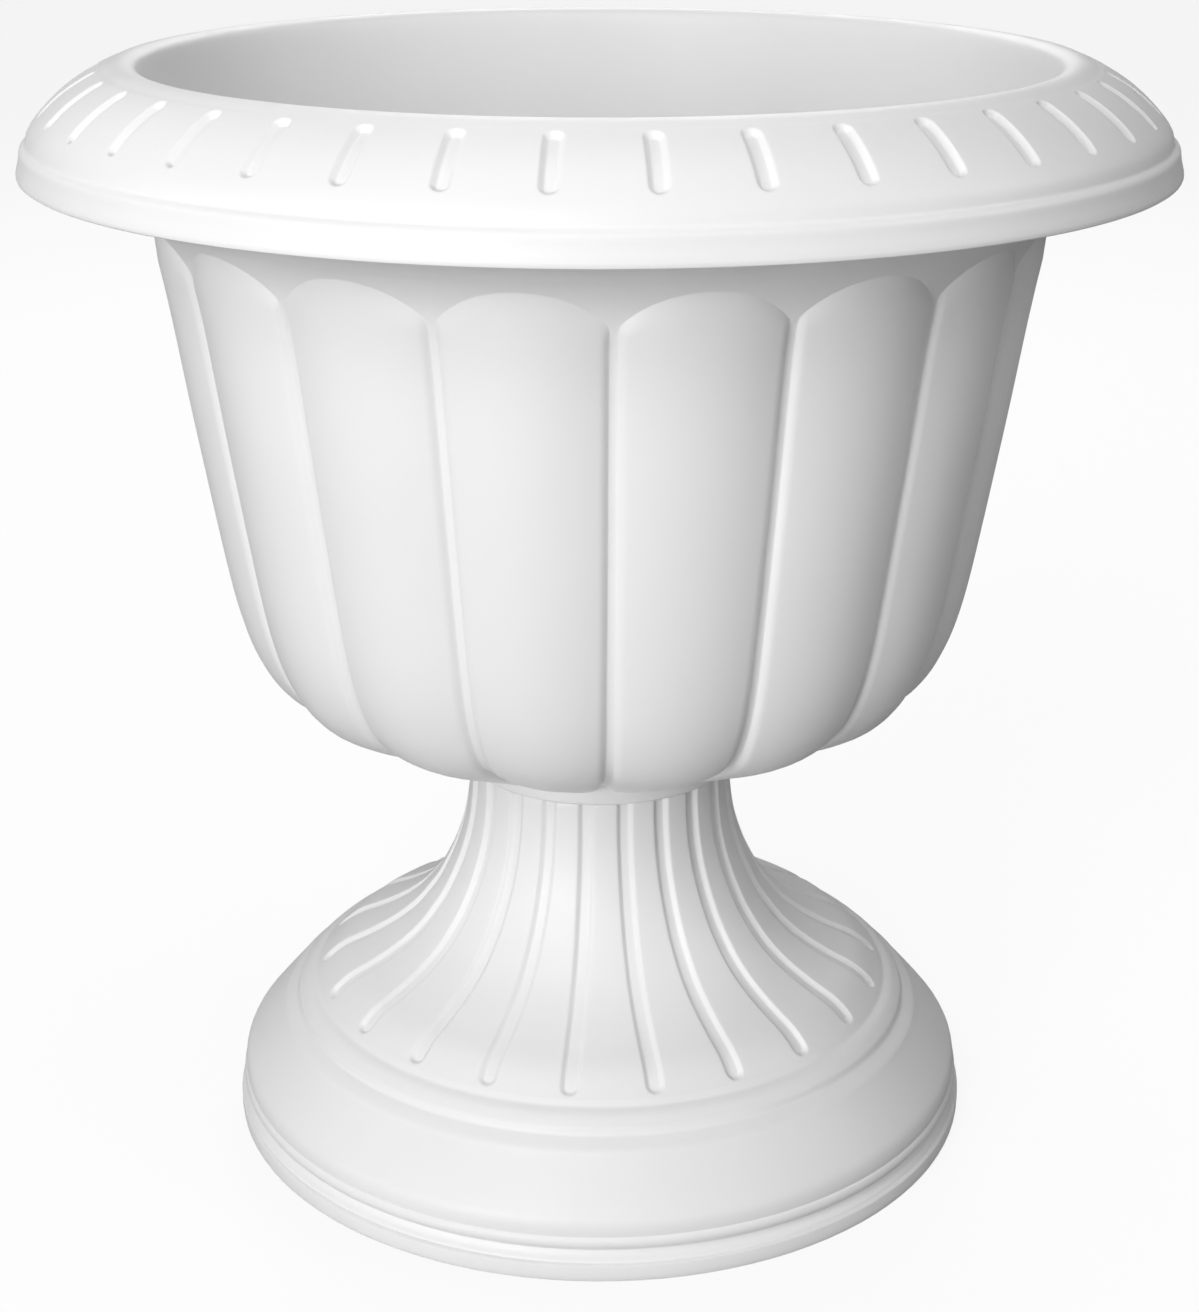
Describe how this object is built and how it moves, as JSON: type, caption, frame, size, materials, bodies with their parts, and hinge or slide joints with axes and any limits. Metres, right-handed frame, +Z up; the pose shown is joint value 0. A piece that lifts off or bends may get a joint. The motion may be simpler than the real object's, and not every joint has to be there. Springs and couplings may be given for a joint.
{
  "type": "urn planter",
  "caption": "Free-standing urn planter: lobed bowl with a slotted, rolled rim, bolted to a flared pedestal on a round stepped base; a bung closes the drain hole.",
  "frame": {"origin": "on the floor at the centre of the round base", "axes": "+Z up along the urn's axis; -Y is the side seen in the picture"},
  "size_m": [0.4568, 0.4568, 0.4597],
  "materials": {
    "moulding": "white satin moulded plastic",
    "fixing_steel": "zinc plated",
    "seal_rubber": "matt black rubber",
    "plug_rubber": "matt dark grey rubber"
  },
  "bodies": {
    "urn": {"bowl": "moulding", "pedestal": "moulding", "fixing_bolt": "fixing_steel", "flat_washer": "fixing_steel", "lower_washer": "fixing_steel", "wing_nut": "fixing_steel", "sealing_washer": "seal_rubber"},
    "plug": {"drain_plug": "plug_rubber"}
  },
  "joints": [
    {"name": "drain_plug_lift", "type": "slide", "parent": "urn", "child": "plug", "axis": [0, 0, 1], "range_m": [0, 0.31]}
  ]
}
